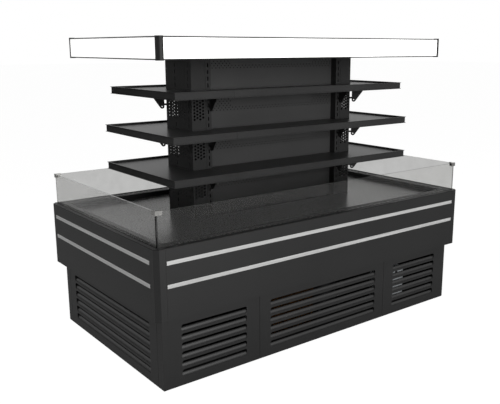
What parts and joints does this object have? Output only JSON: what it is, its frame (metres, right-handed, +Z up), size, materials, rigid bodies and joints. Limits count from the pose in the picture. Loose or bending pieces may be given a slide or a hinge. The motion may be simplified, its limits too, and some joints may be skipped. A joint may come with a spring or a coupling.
{
  "type": "refrigerated display case",
  "caption": "Island display refrigerator with a low glass-walled tank, a slotted centre column carrying tiers of shelves, a lit canopy and louvred machine panels.",
  "frame": {"origin": "on the floor, under the middle of the case", "axes": "+X along the length, -Y toward the front long side, +Z up"},
  "size_m": [2.033, 1.147, 1.546],
  "materials": {
    "cabinet_paint": "satin powder coat, charcoal",
    "frame_paint": "satin powder coat, black",
    "shelf_paint": "satin powder coat, black",
    "deck_paint": "smooth powder coat, black",
    "tank_panel": "foam panel with black liner",
    "galvanized_steel": "galvanized",
    "brushed_strip": "satin",
    "clip_chrome": "polished",
    "clear_glass": "clear, tempered",
    "white_panel": "smooth white paint",
    "light_diffuser": "frosted",
    "compressor_paint": "semi gloss black",
    "coil_aluminium": "fins",
    "motor_steel": "zinc plated",
    "copper_pipe": "drawn copper",
    "fan_plastic": "moulded",
    "box_paint": "grey paint",
    "rocker_plastic": "moulded",
    "gland_plastic": "moulded nylon"
  },
  "bodies": {
    "cabinet": {"base_rails": "frame_paint", "machine_tray": "frame_paint", "insulated_tank": "tank_panel", "front_skirt": "cabinet_paint", "back_skirt": "cabinet_paint", "left_skirt": "cabinet_paint", "right_skirt": "cabinet_paint", "corner_posts": "cabinet_paint", "bumper_strips": "brushed_strip", "rim_caps": "cabinet_paint", "air_grilles": "cabinet_paint", "long_glass": "clear_glass", "end_glass": "clear_glass", "glass_clips": "clip_chrome", "slotted_uprights": "frame_paint", "column_casings": "frame_paint", "bay_panels": "frame_paint", "shelf_brackets": "frame_paint", "canopy_frame": "frame_paint", "canopy_fascias": "white_panel", "canopy_covers": "white_panel", "canopy_lights": "light_diffuser", "compressor": "compressor_paint", "condenser_coil": "coil_aluminium", "fan_shroud": "galvanized_steel", "fan_motor": "motor_steel", "refrigerant_pipes": "copper_pipe", "evaporator_coil": "coil_aluminium", "evaporator_fan_plate": "galvanized_steel", "control_box": "box_paint", "power_inlet": "gland_plastic"},
    "top_front_shelf": {"top_front_shelf": "shelf_paint"},
    "top_back_shelf": {"top_back_shelf": "shelf_paint"},
    "top_left_shelf": {"top_left_shelf": "shelf_paint"},
    "top_right_shelf": {"top_right_shelf": "shelf_paint"},
    "middle_front_shelf": {"middle_front_shelf": "shelf_paint"},
    "middle_back_shelf": {"middle_back_shelf": "shelf_paint"},
    "middle_left_shelf": {"middle_left_shelf": "shelf_paint"},
    "middle_right_shelf": {"middle_right_shelf": "shelf_paint"},
    "bottom_front_shelf": {"bottom_front_shelf": "shelf_paint"},
    "bottom_back_shelf": {"bottom_back_shelf": "shelf_paint"},
    "bottom_left_shelf": {"bottom_left_shelf": "shelf_paint"},
    "bottom_right_shelf": {"bottom_right_shelf": "shelf_paint"},
    "front_deck_pan": {"front_deck_pan": "deck_paint"},
    "back_deck_pan": {"back_deck_pan": "deck_paint"},
    "left_deck_pan": {"left_deck_pan": "deck_paint"},
    "right_deck_pan": {"right_deck_pan": "deck_paint"},
    "front_left_grille": {"front_left_grille": "cabinet_paint"},
    "front_middle_grille": {"front_middle_grille": "cabinet_paint"},
    "front_right_grille": {"front_right_grille": "cabinet_paint"},
    "back_left_grille": {"back_left_grille": "cabinet_paint"},
    "back_middle_grille": {"back_middle_grille": "cabinet_paint"},
    "back_right_grille": {"back_right_grille": "cabinet_paint"},
    "left_grille": {"left_grille": "cabinet_paint"},
    "right_grille": {"right_grille": "cabinet_paint"},
    "condenser_fan": {"condenser_fan": "fan_plastic"},
    "left_evaporator_fan": {"left_evaporator_fan": "fan_plastic"},
    "right_evaporator_fan": {"right_evaporator_fan": "fan_plastic"},
    "light_switch": {"light_switch": "rocker_plastic"},
    "power_switch": {"power_switch": "rocker_plastic"}
  },
  "joints": [
    {"name": "top_front_shelf_slide", "type": "slide", "parent": "cabinet", "child": "top_front_shelf", "axis": [0, -1, 0], "range_m": [0, 0.46]},
    {"name": "top_back_shelf_slide", "type": "slide", "parent": "cabinet", "child": "top_back_shelf", "axis": [0, 1, 0], "range_m": [0, 0.46]},
    {"name": "top_left_shelf_slide", "type": "slide", "parent": "cabinet", "child": "top_left_shelf", "axis": [-1, 0, 0], "range_m": [0, 0.6]},
    {"name": "top_right_shelf_slide", "type": "slide", "parent": "cabinet", "child": "top_right_shelf", "axis": [1, 0, 0], "range_m": [0, 0.6]},
    {"name": "middle_front_shelf_slide", "type": "slide", "parent": "cabinet", "child": "middle_front_shelf", "axis": [0, -1, 0], "range_m": [0, 0.46]},
    {"name": "middle_back_shelf_slide", "type": "slide", "parent": "cabinet", "child": "middle_back_shelf", "axis": [0, 1, 0], "range_m": [0, 0.46]},
    {"name": "middle_left_shelf_slide", "type": "slide", "parent": "cabinet", "child": "middle_left_shelf", "axis": [-1, 0, 0], "range_m": [0, 0.6]},
    {"name": "middle_right_shelf_slide", "type": "slide", "parent": "cabinet", "child": "middle_right_shelf", "axis": [1, 0, 0], "range_m": [0, 0.6]},
    {"name": "bottom_front_shelf_slide", "type": "slide", "parent": "cabinet", "child": "bottom_front_shelf", "axis": [0, -1, 0], "range_m": [0, 0.46]},
    {"name": "bottom_back_shelf_slide", "type": "slide", "parent": "cabinet", "child": "bottom_back_shelf", "axis": [0, 1, 0], "range_m": [0, 0.46]},
    {"name": "bottom_left_shelf_slide", "type": "slide", "parent": "cabinet", "child": "bottom_left_shelf", "axis": [-1, 0, 0], "range_m": [0, 0.6]},
    {"name": "bottom_right_shelf_slide", "type": "slide", "parent": "cabinet", "child": "bottom_right_shelf", "axis": [1, 0, 0], "range_m": [0, 0.6]},
    {"name": "front_deck_pan_lift", "type": "slide", "parent": "cabinet", "child": "front_deck_pan", "axis": [0, 0, 1], "range_m": [0, 0.1]},
    {"name": "back_deck_pan_lift", "type": "slide", "parent": "cabinet", "child": "back_deck_pan", "axis": [0, 0, 1], "range_m": [0, 0.1]},
    {"name": "left_deck_pan_lift", "type": "slide", "parent": "cabinet", "child": "left_deck_pan", "axis": [0, 0, 1], "range_m": [0, 0.1]},
    {"name": "right_deck_pan_lift", "type": "slide", "parent": "cabinet", "child": "right_deck_pan", "axis": [0, 0, 1], "range_m": [0, 0.1]},
    {"name": "front_left_grille_pull", "type": "slide", "parent": "cabinet", "child": "front_left_grille", "axis": [0, -1, 0], "range_m": [0, 0.2]},
    {"name": "front_middle_grille_pull", "type": "slide", "parent": "cabinet", "child": "front_middle_grille", "axis": [0, -1, 0], "range_m": [0, 0.2]},
    {"name": "front_right_grille_pull", "type": "slide", "parent": "cabinet", "child": "front_right_grille", "axis": [0, -1, 0], "range_m": [0, 0.2]},
    {"name": "back_left_grille_pull", "type": "slide", "parent": "cabinet", "child": "back_left_grille", "axis": [0, 1, 0], "range_m": [0, 0.2]},
    {"name": "back_middle_grille_pull", "type": "slide", "parent": "cabinet", "child": "back_middle_grille", "axis": [0, 1, 0], "range_m": [0, 0.2]},
    {"name": "back_right_grille_pull", "type": "slide", "parent": "cabinet", "child": "back_right_grille", "axis": [0, 1, 0], "range_m": [0, 0.2]},
    {"name": "left_grille_pull", "type": "slide", "parent": "cabinet", "child": "left_grille", "axis": [-1, 0, 0], "range_m": [0, 0.2]},
    {"name": "right_grille_pull", "type": "slide", "parent": "cabinet", "child": "right_grille", "axis": [1, 0, 0], "range_m": [0, 0.2]},
    {"name": "condenser_fan_spin", "type": "hinge", "parent": "cabinet", "child": "condenser_fan", "pos_m": [-0.2185, -0.3957, 0.153], "axis": [0, 1, 0], "continuous": true},
    {"name": "left_evaporator_fan_spin", "type": "hinge", "parent": "cabinet", "child": "left_evaporator_fan", "pos_m": [-0.19, -0.164, 0.497], "axis": [0, 1, 0], "continuous": true},
    {"name": "right_evaporator_fan_spin", "type": "hinge", "parent": "cabinet", "child": "right_evaporator_fan", "pos_m": [0.19, -0.164, 0.497], "axis": [0, 1, 0], "continuous": true},
    {"name": "light_switch_rock", "type": "hinge", "parent": "cabinet", "child": "light_switch", "pos_m": [0.51367, -0.4997, 0.234], "axis": [1, 0, 0], "range_deg": [-16, 0]},
    {"name": "power_switch_rock", "type": "hinge", "parent": "cabinet", "child": "power_switch", "pos_m": [0.57033, -0.4997, 0.234], "axis": [1, 0, 0], "range_deg": [-16, 0]}
  ]
}
